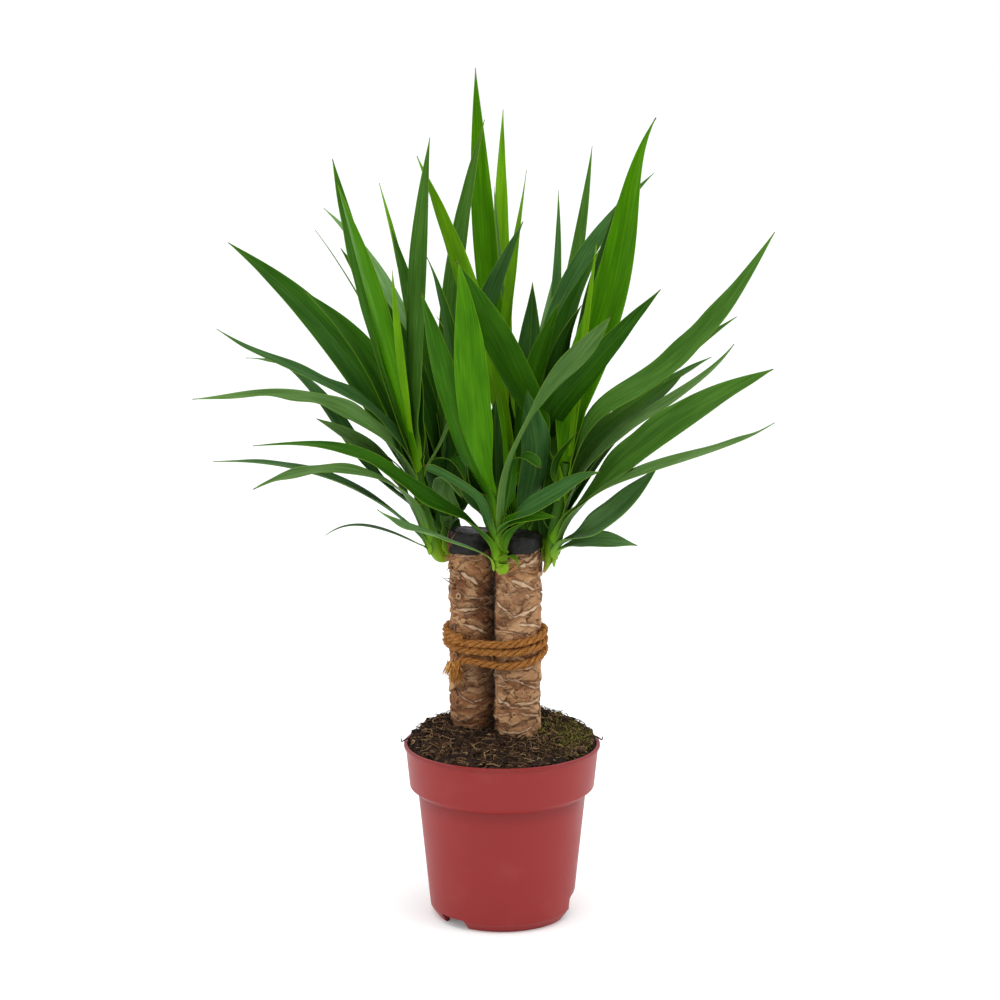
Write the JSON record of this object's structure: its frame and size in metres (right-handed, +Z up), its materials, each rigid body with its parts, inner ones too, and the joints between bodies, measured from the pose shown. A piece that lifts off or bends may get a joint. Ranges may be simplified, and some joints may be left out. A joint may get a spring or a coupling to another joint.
{
  "type": "potted yucca",
  "caption": "Cane yucca with tied, wax-capped canes and leafy shoots, planted in a plastic nursery pot of soil.",
  "frame": {"origin": "bottom centre of the box round the whole plant and pot, on the plane that the pot's foot ring stands on", "axes": "+Z up the plant, -Y the front, where the rope's tail shows and the broad front leaves lean out, +X the viewer's right"},
  "size_m": [0.4868, 0.367, 0.728],
  "materials": {
    "pot_plastic": "satin",
    "potting_soil": "matte",
    "cane_bark": "matte",
    "cane_wax": "satin",
    "coir": "matte",
    "shoot_green": "satin",
    "leaf_green": "satin"
  },
  "bodies": {
    "root": {"cane_front": "cane_bark", "cane_rear": "cane_bark", "leaf_back_01": "leaf_green", "leaf_back_02": "leaf_green", "leaf_back_03": "leaf_green", "leaf_back_04": "leaf_green", "leaf_back_05": "leaf_green", "leaf_back_06": "leaf_green", "leaf_back_07": "leaf_green", "leaf_behind_01": "leaf_green", "leaf_behind_02": "leaf_green", "leaf_behind_03": "leaf_green", "leaf_behind_04": "leaf_green", "leaf_behind_05": "leaf_green", "leaf_behind_06": "leaf_green", "leaf_behind_07": "leaf_green", "leaf_behind_08": "leaf_green", "leaf_behind_09": "leaf_green", "leaf_behind_10": "leaf_green", "leaf_behind_11": "leaf_green", "leaf_behind_12": "leaf_green", "leaf_front_01": "leaf_green", "leaf_front_02": "leaf_green", "leaf_front_03": "leaf_green", "leaf_front_04": "leaf_green", "leaf_front_05": "leaf_green", "leaf_front_06": "leaf_green", "leaf_left_01": "leaf_green", "leaf_left_02": "leaf_green", "leaf_left_03": "leaf_green", "leaf_left_04": "leaf_green", "leaf_left_05": "leaf_green", "leaf_left_06": "leaf_green", "leaf_left_07": "leaf_green", "leaf_left_08": "leaf_green", "leaf_left_09": "leaf_green", "leaf_left_10": "leaf_green", "leaf_left_11": "leaf_green", "leaf_right_01": "leaf_green", "leaf_right_02": "leaf_green", "leaf_right_03": "leaf_green", "leaf_right_04": "leaf_green", "leaf_right_05": "leaf_green", "leaf_right_06": "leaf_green", "leaf_right_07": "leaf_green", "leaf_right_08": "leaf_green", "leaf_right_09": "leaf_green", "leaf_right_10": "leaf_green", "leaf_right_11": "leaf_green", "leaf_right_12": "leaf_green", "pot": "pot_plastic", "rope_tie": "coir", "shoot_back": "shoot_green", "shoot_behind": "shoot_green", "shoot_front": "shoot_green", "shoot_left": "shoot_green", "shoot_right": "shoot_green", "soil": "potting_soil", "wax_cap_front": "cane_wax", "wax_cap_rear": "cane_wax"}
  },
  "joints": []
}
